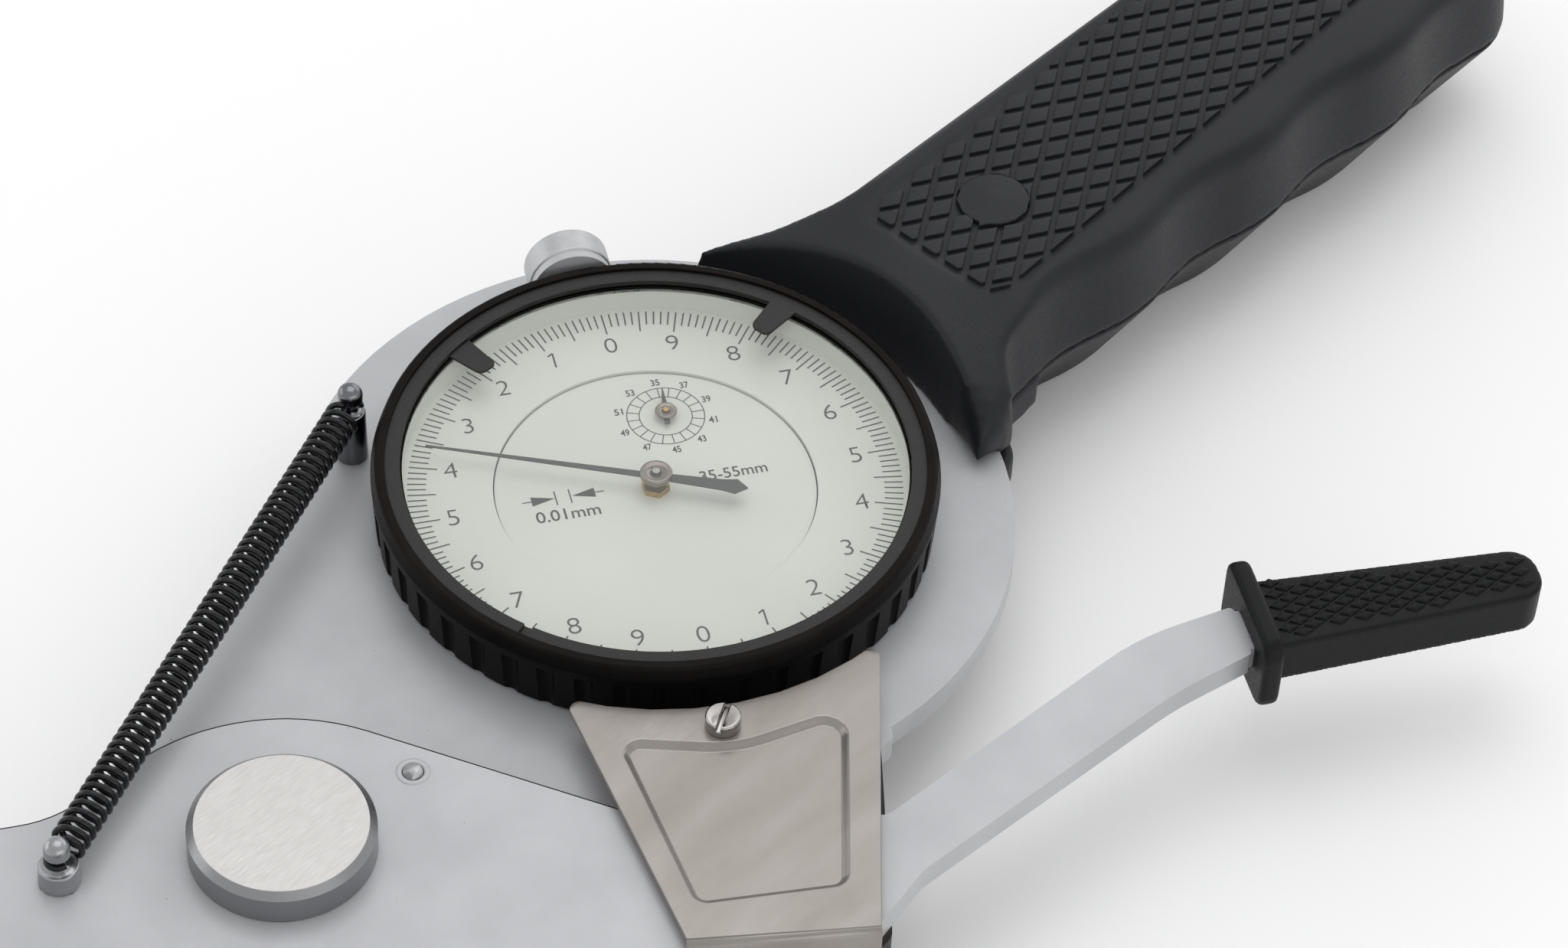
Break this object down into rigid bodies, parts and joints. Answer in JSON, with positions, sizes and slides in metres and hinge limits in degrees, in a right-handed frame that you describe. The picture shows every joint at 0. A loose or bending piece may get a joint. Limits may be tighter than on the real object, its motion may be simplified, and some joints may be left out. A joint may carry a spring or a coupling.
{
  "type": "internal dial caliper gauge",
  "caption": "Internal dial caliper gauge: a squeeze lever closes a pivoted leg against a fixed leg, and a geared dial with a turn counter reads the gap between the contacts.",
  "frame": {"origin": "below the dial's centre in the plane of the rear housing's back face", "axes": "+X along the handle, -X to the measuring contacts, +Z out of the dial, +Y to the side of the return spring"},
  "size_m": [0.317, 0.1143, 0.0246],
  "materials": {
    "painted_body": "satin silver-grey paint",
    "steel": "brushed stainless steel",
    "turned_steel": "turned and ground steel",
    "hard_steel": "ground and polished steel",
    "aluminium": "brushed aluminium with a satin bevel",
    "nickel": "nickel plate",
    "brass": "bright brass",
    "black_bezel": "satin black",
    "black_plastic": "satin moulded",
    "rubber": "matt",
    "dial_face": "off-white print ground",
    "hand_paint": "dark grey",
    "crystal": "clear",
    "spring_steel": "blacked and oiled",
    "grey_knob": "satin grey"
  },
  "bodies": {
    "frame": {"bezel_snap_wire": "spring_steel", "body_plate": "painted_body", "bridge_pillars": "brass", "centre_bush": "brass", "centre_collar": "brass", "cover_screw": "turned_steel", "cover_spacer": "turned_steel", "dial_case": "black_bezel", "fixed_contact": "hard_steel", "fixed_leg": "painted_body", "fixed_leg_screws": "turned_steel", "hairspring": "spring_steel", "handle_inserts": "brass", "handle_lower": "black_plastic", "handle_plugs": "black_plastic", "handle_screws": "turned_steel", "handle_upper": "black_plastic", "housing_screws": "turned_steel", "inner_dial": "dial_face", "linkage_cover": "steel", "pivot_cap": "aluminium", "pivot_shaft": "hard_steel", "plunger_bush_lower": "brass", "plunger_bush_middle": "brass", "plunger_bush_upper": "brass", "rear_bridge": "brass", "rear_housing": "black_plastic", "return_spring": "spring_steel", "upper_spring_post": "nickel"},
    "arm": {"moving_arm": "painted_body", "arm_bush": "brass", "drive_pin": "hard_steel", "stop_pin": "turned_steel", "leg_cap": "aluminium", "leg_stud": "turned_steel", "leg_dowel": "hard_steel", "lower_spring_post": "nickel", "lever_grip": "rubber", "moving_leg": "painted_body", "moving_contact": "hard_steel"},
    "plunger": {"plunger": "turned_steel"},
    "intermediate_gear": {"intermediate_gear": "brass"},
    "centre_arbor": {"centre_arbor": "turned_steel", "main_hand": "hand_paint", "main_hand_hub": "nickel"},
    "counter": {"counter_gear": "brass", "small_hand": "hand_paint", "small_hand_hub": "nickel"},
    "bezel": {"bezel": "black_bezel", "ring_dial": "dial_face", "crystal": "crystal"},
    "lower_marker": {"limit_marker_lower": "black_bezel"},
    "upper_marker": {"limit_marker_upper": "black_bezel"},
    "clamp_knob": {"clamp_knob": "grey_knob"}
  },
  "joints": [
    {"name": "arm_pivot", "type": "hinge", "parent": "frame", "child": "arm", "pos_m": [-0.06103, -0.00795, 0.015], "axis": [0, 0, 1], "range_deg": [0, 9.6], "stiffness_Nm_per_rad": 0.6, "springref_deg": -22.92, "deforming": ["return_spring"]},
    {"name": "plunger_slide", "type": "slide", "parent": "frame", "child": "plunger", "axis": [0.5373, 0.8434, 0], "range_m": [0, 0.00892]},
    {"name": "intermediate_spin", "type": "hinge", "parent": "frame", "child": "intermediate_gear", "pos_m": [-0.00558, -0.01457, 0.0085], "axis": [0, 0, 1], "range_deg": [0, 300.5]},
    {"name": "centre_spin", "type": "hinge", "parent": "frame", "child": "centre_arbor", "pos_m": [0, 0, 0.0085], "axis": [0, 0, 1], "range_deg": [-3601, 0]},
    {"name": "counter_spin", "type": "hinge", "parent": "frame", "child": "counter", "pos_m": [0.00843, 0.00672, 0.0154], "axis": [0, 0, 1], "range_deg": [0, 360.5]},
    {"name": "bezel_turn", "type": "hinge", "parent": "frame", "child": "bezel", "pos_m": [0, 0, 0.0175], "axis": [0, 0, 1], "continuous": true},
    {"name": "lower_marker_turn", "type": "hinge", "parent": "bezel", "child": "lower_marker", "pos_m": [0, 0, 0.021], "axis": [0, 0, 1], "continuous": true},
    {"name": "upper_marker_turn", "type": "hinge", "parent": "bezel", "child": "upper_marker", "pos_m": [0, 0, 0.0214], "axis": [0, 0, 1], "continuous": true},
    {"name": "clamp_turn", "type": "hinge", "parent": "frame", "child": "clamp_knob", "pos_m": [0.01528, 0.02809, 0.0184], "axis": [0.5373, 0.8434, 0], "range_deg": [-180, 0]}
  ],
  "couplings": [
    {"joint": "plunger_slide", "follows": "arm_pivot", "m_per_rad": 0.053125},
    {"joint": "intermediate_spin", "follows": "arm_pivot", "ratio": 31.25},
    {"joint": "centre_spin", "follows": "arm_pivot", "ratio": -375},
    {"joint": "counter_spin", "follows": "arm_pivot", "ratio": 37.5}
  ]
}
